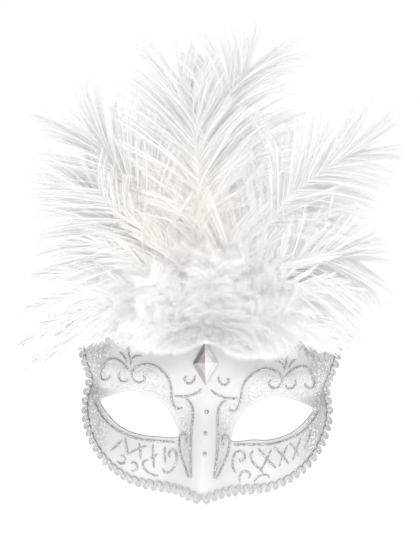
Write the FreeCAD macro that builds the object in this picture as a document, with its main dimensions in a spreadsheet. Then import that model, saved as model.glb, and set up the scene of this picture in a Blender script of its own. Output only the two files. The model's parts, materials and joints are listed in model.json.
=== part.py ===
"""Feathered half mask: moulded shell, braid trim, glitter relief, brow gem and plume cluster.

Millimetres. +Z is up, the front of the mask faces -Y, X = 0 is the plane of symmetry.
Z = 0 is the level of the eye centres and Y = 0 the depth of the mask's side edges.
"""
import FreeCAD, Part
import math
import os
import Sketcher

from FreeCAD import Placement, Rotation, Vector

doc = FreeCAD.newDocument("half_mask")

# ---------------------------------------------------------------- driving dimensions
SIZES = {
    "mask_width": 168.0,          # over the two wing tips
    "mask_height": 105.0,         # nose edge to the middle of the top edge
    "face_depth": 72.0,           # side edge to the flat of the forehead
    "nose_rise": 17.0,
    "shell_wall": 1.6,
    "eye_lip_depth": 4.2,         # how far the turned-in eye edge reaches behind the front face
    "eye_lip_wall": 1.5,
    "tie_hole_bore": 4.0,
    "tie_hole_inset": 9.0,        # side edge to the middle of the tie hole, past the braid
    "paint_gap": 0.06,            # clearance under everything that lies on the shell
    "glitter_film": 0.2,
    "bead_width": 1.45,
    "bead_rise": 0.85,
    "dot_bore": 3.6,              # across one nose dot
    "braid_width": 6.4,
    "braid_thick": 1.0,
    "braid_overhang": 2.4,        # tape past the shell edge
    "braid_cord": 1.6,
    "gem_width": 16.0,
    "gem_height": 28.0,
    "gem_girdle": 1.2,
    "gem_bevel": 2.4,
    "gem_crown": 2.6,
    "foil_thick": 0.3,
    "gem_standoff": 0.5,
    "patch_width": 38.0,
    "patch_height": 12.0,
    "patch_thick": 1.0,
    "binding_width": 30.0,
    "binding_height": 5.0,
    "binding_wall": 1.0,
    "quill_bore": 1.5,            # a plume's shaft, across
    "layer_pitch": 2.1,           # from one plume layer to the next
    "plume_scale": 1.0,           # length of every feather against its drawn length
    "vane_edge": 0.35,
    "fit_gap": 0.3,
}

sheet = doc.addObject("Spreadsheet::Sheet", "sizes")
for row, (alias, value) in enumerate(SIZES.items(), start=1):
    sheet.set("A%d" % row, alias)
    sheet.set("B%d" % row, str(value))
    sheet.setAlias("B%d" % row, alias)
doc.recompute()


def size(alias):
    return float(sheet.get(alias))


# The outlines are drawn for a mask of this size and stretch with the sheet's own values.
DRAWN_WIDTH = 168.0
DRAWN_HEIGHT = 105.0
STRETCH_X = size("mask_width") / DRAWN_WIDTH
STRETCH_Z = size("mask_height") / DRAWN_HEIGHT

EDGE_DRAWN = [(0, -51), (10, -48), (20, -46.5), (32, -46), (42, -45), (52, -41.5), (61.5, -36),
              (70, -28), (76, -17), (79, -7), (79.5, 0), (78.5, 6), (76.6, 13), (77.5, 20),
              (80.5, 28), (83, 36), (84, 43)]
TOP_DRAWN = [(84, 43), (80, 40), (74.5, 38.5), (69, 40.5), (62, 46), (52, 50), (35, 52), (0, 54)]
EYE_DRAWN = [(17.3, -13.6), (20, -4), (24, 3), (31, 9), (39, 12.4), (47, 13.4), (56, 11.4),
             (64, 8), (69, 4.4), (64.5, -3), (57.5, -9), (49.5, -12.6), (40, -14.4), (27, -14.6)]
TIE_HOLE_Z = 0.0
HUB_DRAWN = (0.0, 50.0)           # where every quill leaves the binding
GEM_DRAWN = (-1.3, 34.3)
GEM_LEAN = 3.5                    # degrees, its top towards the mask's left
DOT_DRAWN_X = 0.7


size_of = {alias: size(alias) for alias in SIZES}


def stretched(points):
    return [(x * STRETCH_X, z * STRETCH_Z) for x, z in points]


# ---------------------------------------------------------------- the moulded face
SUPER = 2.6                       # exponent of the face's rounded section
SIDE_RATIO = 0.985                # from here on the side runs straight back
REAR_SHIFT = 21.0 * size("face_depth") / 72.0


def smooth(value):
    value = min(1.0, max(0.0, value))
    return value * value * (3.0 - 2.0 * value)


def half_breadth(z):
    """Half the breadth of the face form at height z."""
    z = z / STRETCH_Z
    if z < -10.0:
        breadth = 80.8 * math.sqrt(max(0.05, 1.0 - ((z + 10.0) / 55.0) ** 2))
    else:
        wing = 4.6 * smooth((z - 12.0) / 30.0)
        waist = 3.7 * math.exp(-((z - 15.0) / 8.0) ** 2)
        breadth = 80.8 + wing - waist
    return breadth * STRETCH_X


def round_section(ratio):
    """Depth of the rounded section, 1 in the middle, falling to the side."""
    edge = (1.0 - SIDE_RATIO ** SUPER) ** (1.0 / SUPER)
    if ratio <= SIDE_RATIO:
        return (1.0 - ratio ** SUPER) ** (1.0 / SUPER)
    slope = -SIDE_RATIO ** (SUPER - 1.0) * edge ** (1.0 - SUPER)
    return edge + slope * (ratio - SIDE_RATIO)


def swell(x, z, x_mid, z_mid, x_reach, z_reach):
    """A soft bump on each side of the face."""
    across = math.exp(-((x - x_mid) / x_reach) ** 2) + math.exp(-((x + x_mid) / x_reach) ** 2)
    return across * math.exp(-((z - z_mid) / z_reach) ** 2)


def face_y(x, z):
    """Depth of the front face over the point x, z."""
    depth = size_of["face_depth"] * round_section(abs(x) / half_breadth(z))
    drawn_x = x / STRETCH_X
    drawn_z = z / STRETCH_Z
    ramp = smooth((18.0 - drawn_z) / 62.0)
    nose_reach = 8.0 + 8.0 * ramp
    depth += size_of["nose_rise"] * ramp * math.exp(-(drawn_x / nose_reach) ** 2)
    depth -= 4.5 * swell(drawn_x, drawn_z, 42.0, 0.0, 24.0, 15.0)
    depth += 4.0 * swell(drawn_x, drawn_z, 46.0, -32.0, 20.0, 14.0)
    depth += 3.0 * swell(drawn_x, drawn_z, 40.0, 24.0, 28.0, 9.0)
    lean = max(0.0, drawn_z - 14.0) / 45.0
    depth -= 7.0 * lean * lean
    return REAR_SHIFT - depth


def face_normal(x, z):
    """Unit normal of the front face, pointing out to the front."""
    step = 0.05
    along_x = (face_y(x + step, z) - face_y(x - step, z)) / (2.0 * step)
    along_z = (face_y(x, z + step) - face_y(x, z - step)) / (2.0 * step)
    normal = Vector(along_x, -1.0, along_z)
    return normal.normalize()


def on_face(x, z, height=0.0):
    return Vector(x, face_y(x, z), z) + face_normal(x, z) * height


def settle(point, height):
    """Move a point near the face until it stands `height` in front of it."""
    for _ in range(4):
        normal = face_normal(point.x, point.z)
        gap = (point.y - face_y(point.x, point.z)) * normal.y
        point = point + normal * (height - gap)
    return point


GRID_COLUMNS = 22                 # on each side of the middle
GRID_ROWS = 44
FORM_LOW = -62.0 * STRETCH_Z
FORM_HIGH = 66.0 * STRETCH_Z


def form_grid(height=0.0, push=0.0):
    """Rows of points over the whole face form, lifted along the normal and pushed back in Y."""
    side_angle = math.asin(SIDE_RATIO)
    ratios = [math.sin(side_angle * i / GRID_COLUMNS) for i in range(1, GRID_COLUMNS + 1)]
    ratios += [0.998, 1.011]
    ratios = [-r for r in reversed(ratios)] + [0.0] + ratios
    grid = []
    for row in range(GRID_ROWS + 1):
        z = FORM_LOW + (FORM_HIGH - FORM_LOW) * row / GRID_ROWS
        breadth = half_breadth(z)
        line = [on_face(r * breadth, z, height) + Vector(0.0, push, 0.0) for r in ratios]
        grid.append(line)
    return grid


def grid_surface(grid):
    surface = Part.BSplineSurface()
    surface.interpolate(grid)
    return surface.toShape()


def between(front_grid, back_grid):
    """Closed solid between two grids with the same layout."""
    front = grid_surface(front_grid)
    back = grid_surface(back_grid)
    faces = [front, back]
    for front_edge, back_edge in zip(front.Edges, back.Edges):
        faces.append(Part.makeRuledSurface(front_edge, back_edge))
    return closed_solid(faces)


def closed_solid(faces):
    shell = Part.Shell(faces)
    if not shell.isClosed():
        shell = Part.makeCompound(faces)
        shell.sewShape()
        shell = shell.Shells[0]
    solid = Part.Solid(shell)
    if solid.Volume < 0:
        solid.reverse()
    return solid


PRISM_FRONT = -140.0
PRISM_BACK = 60.0


def curve_through(points, closed=False):
    curve = Part.BSplineCurve()
    curve.interpolate([Vector(x, PRISM_FRONT, z) for x, z in points], PeriodicFlag=closed)
    return curve


def prism(wire):
    return Part.Face(wire).extrude(Vector(0.0, PRISM_BACK - PRISM_FRONT, 0.0))


def mirrored(points):
    return [(-x, z) for x, z in reversed(points)]


def both_sides(points):
    """The drawn right half with its mirror image, from the left end to the right end."""
    return mirrored(points)[:-1] + points


def grown(points, amount):
    """A closed outline moved outwards by `amount`."""
    count = len(points)
    moved = []
    turn = sum(points[i - 1][0] * points[i][1] - points[i][0] * points[i - 1][1] for i in range(count))
    side = 1.0 if turn > 0 else -1.0
    for i in range(count):
        before, after = points[i - 1], points[(i + 1) % count]
        dx, dz = after[0] - before[0], after[1] - before[1]
        length = math.hypot(dx, dz)
        moved.append((points[i][0] + side * amount * dz / length,
                      points[i][1] - side * amount * dx / length))
    return moved


def add_shape(label, shape):
    feature = doc.addObject("Part::Feature", label)
    feature.Label = label
    feature.Shape = shape
    return feature


def fuse_all(solids):
    """One solid from solids that cross each other."""
    if len(solids) == 1:
        return solids[0]
    return solids[0].multiFuse(solids[1:]).removeSplitter()


# ---------------------------------------------------------------- swept strips
def ruled_face(rail, other):
    """Straight-ruled face between two curves that share their knots."""
    surface = Part.BSplineSurface()
    surface.buildFromPolesMultsKnots([rail.getPoles(), other.getPoles()], [2, 2], rail.getMultiplicities(),
                                     [0.0, 1.0], rail.getKnots(), False, False, 1, rail.Degree)
    return surface.toShape()


def sweep(stations):
    """Solid through stations: each is a ring of points, joined one to one along the strip."""
    knots = [float(i) for i in range(len(stations))]
    rails = []
    for ring in zip(*stations):
        rail = Part.BSplineCurve()
        rail.interpolate(Points=list(ring), Parameters=knots)
        rails.append(rail)
    faces = [ruled_face(rails[i - 1], rails[i]) for i in range(len(rails))]
    for ring in (stations[0], stations[-1]):
        for i in range(1, len(ring) - 1):
            corner = [ring[0], ring[i], ring[i + 1], ring[0]]
            faces.append(Part.Face(Part.makePolygon(corner)))
    return closed_solid(faces)


def even_points(points, spacing, closed=False):
    """Points at even spacing on the smooth curve through the drawn points, in the XZ plane."""
    curve = Part.BSplineCurve()
    curve.interpolate([Vector(x, 0.0, z) for x, z in points], PeriodicFlag=closed)
    count = max(6, int(round(curve.length() / spacing)))
    return curve.toShape().discretize(Number=count + 1)


def surface_strip(points, profile, spacing=1.2, taper=0.0):
    """A strip that lies on the face. profile: (across, height) pairs, drawn once round."""
    path = even_points(points, spacing)
    stations = []
    for i, spot in enumerate(path):
        ahead = path[min(i + 1, len(path) - 1)]
        behind = path[max(i - 1, 0)]
        here = on_face(spot.x, spot.z)
        run = on_face(ahead.x, ahead.z) - on_face(behind.x, behind.z)
        normal = face_normal(spot.x, spot.z)
        across = run.cross(normal).normalize()
        share = 1.0
        if taper:
            end = min(i, len(path) - 1 - i)
            share = min(1.0, 0.45 + 0.55 * end * spacing / taper)
        ring = []
        for side, height in profile:
            base = height[0] + (height[1] - height[0]) * share
            ring.append(settle(here + across * (side * share), base))
        stations.append(ring)
    return sweep(stations)


def bead_profile(base, width, rise):
    """Half-round section of a line of glue: flat below, rounded above."""
    half = width / 2.0
    steps = [(-1.0, 0.0), (-0.92, 0.45), (-0.55, 0.85), (0.0, 1.0), (0.55, 0.85), (0.92, 0.45), (1.0, 0.0)]
    return [(half * side, (base, base + rise * up)) for side, up in steps]


def tape_profile(inner, outer, base, thick):
    """Flat section with enough points across to follow the curve of the face."""
    steps = [inner + (outer - inner) * i / 4.0 for i in range(5)]
    top = [(side, (base + thick, base + thick)) for side in steps]
    bottom = [(side, (base, base)) for side in reversed(steps)]
    return top + bottom


# ---------------------------------------------------------------- mask shell
EDGE = both_sides(stretched(EDGE_DRAWN))
TOP_HALF = stretched(TOP_DRAWN)
TOP = TOP_HALF + mirrored(TOP_HALF)[1:]
EYE_RIGHT = stretched(EYE_DRAWN)
EYES = (EYE_RIGHT, mirrored(EYE_RIGHT))


def eye_prism(outline):
    return prism(Part.Wire([curve_through(outline, True).toShape()]))


def moulded_shell():
    wall = size("shell_wall")
    thick = between(form_grid(), form_grid(-size("eye_lip_depth")))
    inside = between(form_grid(-wall), form_grid(0.0, 40.0))
    outline = prism(Part.Wire([curve_through(EDGE).toShape(), curve_through(TOP).toShape()]))
    rims = [eye_prism(grown(eye, size("eye_lip_wall"))) for eye in EYES]
    shell = thick.common(outline).cut(inside.cut(rims))
    return shell.cut([eye_prism(eye) for eye in EYES])


def tie_hole_place(side):
    """Middle of the tie hole on the face and the face's normal there."""
    edge_x = 79.5 * STRETCH_X
    x = side * (edge_x - 0.19 * size("tie_hole_inset"))
    for _ in range(40):
        run = on_face(side * edge_x, TIE_HOLE_Z) - on_face(x, TIE_HOLE_Z)
        x -= side * 0.3 * (size("tie_hole_inset") - run.Length)
    return on_face(x, TIE_HOLE_Z), face_normal(x, TIE_HOLE_Z)


blank = add_shape("moulded_blank", moulded_shell())
shell_tool = blank
for side, name in ((1, "right"), (-1, "left")):
    spot, normal = tie_hole_place(side)
    drill = doc.addObject("Part::Cylinder", "tie_hole_drill_" + name)
    drill.setExpression("Radius", "sizes.tie_hole_bore / 2")
    drill.setExpression("Height", "sizes.shell_wall * 6")
    start = spot + normal * (size("shell_wall") * 3.0)
    drill.Placement = Placement(start, Rotation(Vector(0, 0, 1), normal * -1.0))
    cut = doc.addObject("Part::Cut", "mask_shell" if side < 0 else "shell_one_hole")
    cut.Base = shell_tool
    cut.Tool = drill
    shell_tool = cut
shell_tool.Label = "mask_shell"

PARTS = [shell_tool]

# ---------------------------------------------------------------- glitter fields
FIELD_UPPER = [(24.6, 8), (25.5, 16), (28, 22), (33, 27.5), (39, 29.5), (45, 27), (50, 27), (57, 30),
               (63, 30), (67, 24), (70, 15), (70, 7), (64, 10.5), (56, 14), (47, 16), (39, 15), (30.5, 11.6)]
FIELD_FINGER = [(10.8, 8.6), (9.2, 5), (8.9, -4), (9.5, -12), (9.5, -22), (8.8, -32), (11, -28.5),
                (13.2, -21), (13.6, -15.5), (15.6, -10), (16.5, -3.5), (20, 4), (20, 8), (16.5, 9)]


def glitter_field(side):
    gap = size("paint_gap")
    film = between(form_grid(gap + size("glitter_film")), form_grid(gap))
    zones = []
    for drawn in (FIELD_UPPER, FIELD_FINGER):
        outline = stretched(drawn)
        if side < 0:
            outline = mirrored(outline)
        zones.append(film.common(eye_prism(outline)))
    return Part.makeCompound(zones)


# ---------------------------------------------------------------- glitter lines
BROW_SCROLL = [[(14.6, 5.8), (17.2, 4.4), (19.8, 5.6), (21.5, 9), (22.3, 12.8), (22.5, 16.4),
                (23.2, 20.2), (25, 24.4), (29, 28.5), (36, 32), (43, 31),
                (47.8, 27), (47, 21.8), (43, 20.2), (39.8, 22.2), (41, 25)]]
TEMPLE_SCROLL = [[(50, 27), (54, 31), (59.5, 33.4), (64.5, 32.2), (67.2, 28), (69.6, 22.4), (67.8, 18.6),
                  (64.4, 19.4), (62.9, 22.6)],
                 [(50.6, 22.6), (52.4, 19.6), (55.4, 20), (56.8, 23), (55.2, 25.4)]]
SPRAY = [[(49.4, 30.6), (48.7, 34), (46.2, 36.6), (42.6, 36.6)],
         [(50.2, 33.6), (50.8, 38), (52.4, 43)],
         [(51.8, 31.8), (53.6, 35.2), (57, 38.4)]]
CROWN_SCROLL = [[(2.9, 18.4), (4.6, 16.2), (8.2, 14.2), (12.6, 12.9), (16.6, 12.6), (20.6, 12.6)],
                [(7.6, 27), (7.8, 24.2), (9.8, 21.6), (13, 21.8), (14.2, 24.2), (12.2, 25.8)]]
FINGER = [[(13.6, 11.2), (10.4, 9.4), (8.4, 6.2), (7.9, 2.6), (7.7, -1), (8, -5), (8.3, -11), (8.4, -18),
           (7.9, -28), (7, -37.6)],
          [(8.7, -38.2), (10.4, -33.6), (12.8, -28.4), (14.9, -23), (15.9, -17), (15.2, -12.6), (13.2, -10.8),
           (11.4, -12.4), (11.5, -15.6), (12.8, -17.4)]]
EYE_LINE = [[(18.4, -17), (25, -17), (33, -17), (41, -16.8), (49, -15.2), (57, -12.6), (64, -8.6),
             (69, -3.4), (73, 3)]]
CHEEK_SCROLL_RIGHT = [[(22.6, -25.6), (24.4, -27.6), (26.4, -25), (24.8, -21.8), (21, -21.6), (18.8, -25.6),
                       (18.8, -31), (21.4, -35.2)],
                      [(24, -41), (23.6, -37), (26.6, -33.8), (29.8, -35.4), (29, -38.4)],
                      [(32.6, -41), (35.4, -37.6), (39.6, -36.2), (42.6, -38.4)]]
CHEEK_SCROLL_LEFT = [[(21.2, -27), (22.2, -24), (20.2, -21.6), (17.6, -24), (17.4, -29), (19.6, -34.4),
                      (23.6, -36.8), (26.2, -34)],
                     [(28.8, -39.2), (33.2, -38.8), (37.2, -36), (39, -32), (35.6, -29.4)],
                     [(46.8, -33.2), (44.6, -31.8), (42.6, -33.8), (43.6, -37), (46.6, -37.6)],
                     [(56, -32.4), (53, -33.8), (50.4, -32), (51.4, -29), (54.2, -29)]]
LATTICE_RIGHT = [[(31.6, -20.6), (30, -24.4), (34, -30.6), (38.6, -35)],
                 [(34.6, -19), (40.6, -26), (46.8, -32)],
                 [(44.4, -18.2), (51, -25), (55, -30)],
                 [(54.4, -16), (59, -21.6), (61, -26)],
                 [(43.4, -19.6), (40.2, -26.4), (36.6, -33.6)],
                 [(53.6, -17), (50.6, -24.4), (48.4, -31.4)],
                 [(62, -13.2), (59.2, -21), (57, -28)],
                 [(68.4, -8), (67.2, -14), (64.4, -21)]]
LATTICE_LEFT = [[(25.2, -20), (25, -25), (24.2, -31.4)],
                [(33, -19), (32.6, -26), (31.6, -35)],
                [(42.2, -18.8), (41, -24), (40.6, -29.4)],
                [(51.2, -16.6), (50.2, -22), (49, -27.6)],
                [(36.6, -20.4), (43.4, -23.4), (49.4, -27.4)],
                [(29.4, -25), (34.4, -28.4)],
                [(53.4, -18.6), (57, -23), (61, -27)]]
NARROW = 0.82                     # the crossing lines are laid a little thinner than the first ones


def glitter_lines(lines, side, base, crossing=()):
    """Beads of glitter glue along drawn lines; the crossing ones run a little lower."""
    beads = []
    for index, drawn in enumerate(lines):
        line = stretched(drawn)
        if side < 0:
            line = mirrored(line)
        share = NARROW if index in crossing else 1.0
        lift = base + (size("paint_gap") / 3.0 if index in crossing else 0.0)
        profile = bead_profile(lift, size("bead_width") * share, size("bead_rise") * share)
        beads.append(surface_strip(line, profile, taper=2.0))
    return beads


ON_SHELL = size("paint_gap")
ON_FILM = size("paint_gap") * 2.0 + size("glitter_film")
for side, name in ((1, "right"), (-1, "left")):
    PARTS.append(add_shape("glitter_field_" + name, glitter_field(side)))
    cheek = CHEEK_SCROLL_RIGHT if side > 0 else CHEEK_SCROLL_LEFT
    lattice = LATTICE_RIGHT if side > 0 else LATTICE_LEFT
    crossing = (4, 5, 6) if side > 0 else (4, 5)
    for label, lines, base in (("brow_scroll", BROW_SCROLL, ON_FILM),
                               ("temple_scroll", TEMPLE_SCROLL, ON_FILM),
                               ("flower_spray", SPRAY, ON_SHELL),
                               ("crown_scroll", CROWN_SCROLL, ON_SHELL),
                               ("finger_outline", FINGER, ON_FILM),
                               ("eye_line", EYE_LINE, ON_SHELL),
                               ("cheek_scroll", cheek, ON_SHELL)):
        beads = glitter_lines(lines, side, base)
        PARTS.append(add_shape("%s_%s" % (label, name), Part.makeCompound(beads)))
    beads = glitter_lines(lattice, side, ON_SHELL, crossing)
    PARTS.append(add_shape("cheek_lattice_" + name, fuse_all(beads)))

# ---------------------------------------------------------------- braid round the edge
def braid(label, points):
    """Flat woven tape over the shell's edge with a raised cord along its middle."""
    gap = size("paint_gap")
    outer = size("braid_overhang")
    inner = outer - size("braid_width")
    tape = surface_strip(points, tape_profile(inner, outer, gap, size("braid_thick")), 3.0)
    middle = (inner + outer) / 2.0
    cord_profile = [(middle + side, height) for side, height in
                    bead_profile(2.0 * gap + size("braid_thick"), size("braid_cord"), size("braid_cord") * 0.6)]
    cord = surface_strip(points, cord_profile, 3.0)
    PARTS.append(add_shape(label + "_braid_tape", tape))
    PARTS.append(add_shape(label + "_braid_cord", cord))


braid("lower", EDGE)
braid("upper", [(79 * STRETCH_X, 39.5 * STRETCH_Z)] + TOP[2:-2] + [(-79 * STRETCH_X, 39.5 * STRETCH_Z)])

# ---------------------------------------------------------------- brow gem
cover = add_shape("shell_cover", between(form_grid(size("paint_gap")), form_grid(0.0, 12.0)))


def origin_plane(body, role):
    for feature in body.Origin.OriginFeatures:
        if feature.Role == role:
            return feature
    raise ValueError(role)


def lozenge_sketch(body, name, half_width, half_height, height):
    """Four-sided diamond outline; its half diagonals are formulas of the sheet."""
    sketch = body.newObject("Sketcher::SketchObject", name)
    sketch.AttachmentSupport = [(origin_plane(body, "XY_Plane"), "")]
    sketch.MapMode = "FlatFace"
    corners = [Vector(8, 0, 0), Vector(0, 14, 0), Vector(-8, 0, 0), Vector(0, -14, 0)]
    for i in range(4):
        sketch.addGeometry(Part.LineSegment(corners[i], corners[(i + 1) % 4]), False)
    for i in range(4):
        sketch.addConstraint(Sketcher.Constraint("Coincident", i, 2, (i + 1) % 4, 1))
    for point in (0, 2):
        sketch.addConstraint(Sketcher.Constraint("PointOnObject", point, 1, -1))
    for point in (1, 3):
        sketch.addConstraint(Sketcher.Constraint("PointOnObject", point, 1, -2))
    for name_of, kind, point, value in (("right", "DistanceX", 0, half_width), ("top", "DistanceY", 1, half_height)):
        index = sketch.addConstraint(Sketcher.Constraint(kind, -1, 1, point, 1, 5.0))
        sketch.renameConstraint(index, name_of)
        sketch.setExpression("Constraints." + name_of, value)
    for name_of, kind, point, value in (("left", "DistanceX", 2, half_width), ("bottom", "DistanceY", 3, half_height)):
        index = sketch.addConstraint(Sketcher.Constraint(kind, point, 1, -1, 1, 5.0))
        sketch.renameConstraint(index, name_of)
        sketch.setExpression("Constraints." + name_of, value)
    sketch.setExpression("AttachmentOffset.Base.z", height)
    return sketch


GEM_TABLE = 0.62                  # the table's edge against the girdle
GEM_POINT = 0.05                  # the crown's blunted point against the girdle


def gem_body():
    body = doc.addObject("PartDesign::Body", "gem")
    levels = [(1.0, "0"), (1.0, "sizes.gem_girdle"), (GEM_TABLE, "sizes.gem_girdle + sizes.gem_bevel"),
              (GEM_POINT, "sizes.gem_girdle + sizes.gem_bevel + sizes.gem_crown")]
    sketches = []
    for index, (share, height) in enumerate(levels):
        sketches.append(lozenge_sketch(body, "gem_level_%d" % index, "sizes.gem_width / 2 * %s" % share,
                                       "sizes.gem_height / 2 * %s" % share, height))
    loft = body.newObject("PartDesign::AdditiveLoft", "gem_facets")
    loft.Profile = sketches[0]
    loft.Sections = sketches[1:]
    loft.Ruled = True
    return body


def lozenge_plate(name, share, bottom, thick):
    body = doc.addObject("PartDesign::Body", name)
    sketch = lozenge_sketch(body, name + "_outline", "sizes.gem_width / 2 * %s" % share,
                            "sizes.gem_height / 2 * %s" % share, bottom)
    pad = body.newObject("PartDesign::Pad", name + "_pad")
    pad.Profile = sketch
    pad.setExpression("Length", thick)
    return body


def cut_of(label, base, tool):
    cut = doc.addObject("Part::Cut", label)
    cut.Label = label
    cut.Base = base
    cut.Tool = tool
    return cut


gem_x = GEM_DRAWN[0] * STRETCH_X
gem_z = GEM_DRAWN[1] * STRETCH_Z
gem_upright = Rotation(Vector(1, 0, 0), Vector(0, 0, 1), face_normal(gem_x, gem_z), "ZXY")
gem_seat = Placement(on_face(gem_x, gem_z, size("gem_standoff") + size("foil_thick")),
                     gem_upright * Rotation(Vector(0, 0, 1), GEM_LEAN))
gem = gem_body()
foil = lozenge_plate("gem_foil_back", 0.98, "-sizes.foil_thick", "sizes.foil_thick")
glue_block = lozenge_plate("gem_glue_block", 0.86, "-sizes.foil_thick - 3", "3")
for body in (gem, foil, glue_block):
    body.Placement = gem_seat
gem_glue = cut_of("gem_glue", glue_block, cover)
PARTS += [gem, foil, gem_glue]

# ---------------------------------------------------------------- dots down the nose
dots = []
for index, drawn_z in enumerate((3.6, -9.5, -22.0)):
    dot = doc.addObject("Part::Sphere", "dot_ball_%d" % index)
    dot.setExpression("Radius", "sizes.dot_bore / 2")
    dot_middle = on_face(DOT_DRAWN_X * STRETCH_X, drawn_z * STRETCH_Z, -0.2 * size("dot_bore"))
    dot.Placement = Placement(dot_middle, Rotation(Vector(1, 0, 0), 90.0))
    dots.append(dot)
dot_group = doc.addObject("Part::MultiFuse", "dot_balls")
dot_group.Shapes = dots
PARTS.append(cut_of("nose_dots", dot_group, cover))

# ---------------------------------------------------------------- where the feathers are held
HUB_X = HUB_DRAWN[0] * STRETCH_X
HUB_Z = HUB_DRAWN[1] * STRETCH_Z
seat_height = size("braid_thick") + size("braid_cord") * 0.6 + 2.0 * size("paint_gap") + size("fit_gap")
GLUE_THICK = 1.2
PATCH_BACK = on_face(HUB_X, HUB_Z, seat_height).y - GLUE_THICK
PATCH_FRONT = PATCH_BACK - size("patch_thick")
HACKLE_PITCH = 1.7
HACKLE_QUILL = 1.2
PLUME_LAYERS = 3
HACKLE_LAYERS = 3
ROOT_DROP = 1.0                   # quills start this far below the hub
PIVOT_RISE = 6.0                  # plumes flex this far above the hub


BUNDLE_BACK = PATCH_FRONT - size("paint_gap") - size("binding_wall")


def plume_y(layer):
    return BUNDLE_BACK - size("layer_pitch") * (layer + 0.5)


def hackle_y(layer):
    return plume_y(PLUME_LAYERS - 0.5) - HACKLE_PITCH * (layer + 0.5)


MARABOU_Y = hackle_y(HACKLE_LAYERS - 0.5)
MARABOU_STEM = 1.4


def spread(reach):
    """How far a feather stands behind its root at this distance from the hub."""
    return (-6.0 * smooth(reach / 50.0) + 16.0 * smooth((reach - 40.0) / 120.0)
            - 6.0 * smooth((reach - 130.0) / 80.0))


def at_depth(spot, root_y):
    """A point of the fan, set back or forward by its own distance from the hub."""
    return Vector(spot.x, root_y + spread(math.hypot(spot.x - HUB_X, spot.z - HUB_Z)), spot.z)


def box_body(name, width, height, depth, front_y, low_z, hollow=""):
    """Upright rounded block; with `hollow` it is a ring open at the top and the bottom."""
    body = doc.addObject("PartDesign::Body", name)
    sketch = body.newObject("Sketcher::SketchObject", name + "_outline")
    sketch.AttachmentSupport = [(origin_plane(body, "XY_Plane"), "")]
    sketch.MapMode = "FlatFace"
    loops = [(width, depth)]
    if hollow:
        loops.append(("%s - 2 * %s" % (width, hollow), "%s - 2 * %s" % (depth, hollow)))
    for loop, (across, along) in enumerate(loops):
        reach = 10.0 - loop
        corners = [Vector(-reach, -reach, 0), Vector(reach, -reach, 0), Vector(reach, reach, 0),
                   Vector(-reach, reach, 0)]
        first = 4 * loop
        for i in range(4):
            sketch.addGeometry(Part.LineSegment(corners[i], corners[(i + 1) % 4]), False)
        for i in range(4):
            sketch.addConstraint(Sketcher.Constraint("Coincident", first + i, 2, first + (i + 1) % 4, 1))
        for edge, kind in ((0, "Horizontal"), (2, "Horizontal"), (1, "Vertical"), (3, "Vertical")):
            sketch.addConstraint(Sketcher.Constraint(kind, first + edge))
        sketch.addConstraint(Sketcher.Constraint("Symmetric", first, 1, first + 1, 2, -1, 1))
        for tag, kind, edge, value in (("wide", "DistanceX", 0, across), ("deep", "DistanceY", 1, along)):
            index = sketch.addConstraint(Sketcher.Constraint(kind, first + edge, 1, first + edge, 2, 15.0))
            sketch.renameConstraint(index, "%s_%d" % (tag, loop))
            sketch.setExpression("Constraints.%s_%d" % (tag, loop), value)
    pad = body.newObject("PartDesign::Pad", name + "_pad")
    pad.Profile = sketch
    pad.setExpression("Length", height)
    body.Placement = Placement(Vector(HUB_X, front_y, low_z), Rotation())
    return body


sheet.set("A60", "bundle_depth")
sheet.set("B60", str(round(BUNDLE_BACK - MARABOU_Y + MARABOU_STEM + 4.0 * size("fit_gap"), 3)))
sheet.setAlias("B60", "bundle_depth")
doc.recompute()
bundle_depth = size("bundle_depth") + 2.0 * size("binding_wall")
patch = box_body("feather_patch", "sizes.patch_width", "sizes.patch_height", "sizes.patch_thick",
                 PATCH_BACK - size("patch_thick") / 2.0, HUB_Z - ROOT_DROP)
glue = box_body("feather_glue", "sizes.patch_width * 0.7", "sizes.patch_height / 3", "1.2 - sizes.fit_gap / 3",
                PATCH_BACK + GLUE_THICK / 2.0, HUB_Z - ROOT_DROP)
binding = box_body("quill_binding", "sizes.binding_width", "sizes.binding_height",
                   "sizes.bundle_depth + 2 * sizes.binding_wall",
                   BUNDLE_BACK + size("binding_wall") - bundle_depth / 2.0, HUB_Z - ROOT_DROP,
                   "sizes.binding_wall")
PARTS += [patch, glue, binding]


# ---------------------------------------------------------------- feathers
def feather(route, root_y, quill, half_width_at, tip_share=0.5, spacing=7.0):
    """One feather: a shaft with a flat vane on each side, from the root to the tip of its route."""
    path = even_points(route, spacing)
    stations = []
    last = len(path) - 1
    for i, spot in enumerate(path):
        ahead = path[min(i + 1, last)]
        behind = path[max(i - 1, 0)]
        run = (ahead - behind).normalize()
        across = Vector(run.z, 0.0, -run.x)
        share = i / last
        half = max(quill / 2.0, half_width_at(share))
        thick = quill / 2.0 * (1.0 - (1.0 - tip_share) * share)
        edge = min(size("vane_edge") / 2.0, thick * 0.8)
        ring = []
        for side, rise in ((-1, edge), (0, thick), (1, edge), (1, -edge), (0, -thick), (-1, -edge)):
            ring.append(at_depth(spot + across * (half * side), root_y) - Vector(0.0, rise, 0.0))
        stations.append(ring)
    return sweep(stations)


def vane(bare, widest, power=0.6, skew=0.85):
    """Half width along a feather: a bare quill, then a full vane that closes at the tip."""
    def half_width(share):
        if share <= bare:
            return 0.0
        inside = (share - bare) / (1.0 - bare)
        return widest * max(0.04, math.sin(math.pi * min(0.985, inside ** skew)) ** power)
    return half_width


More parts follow.
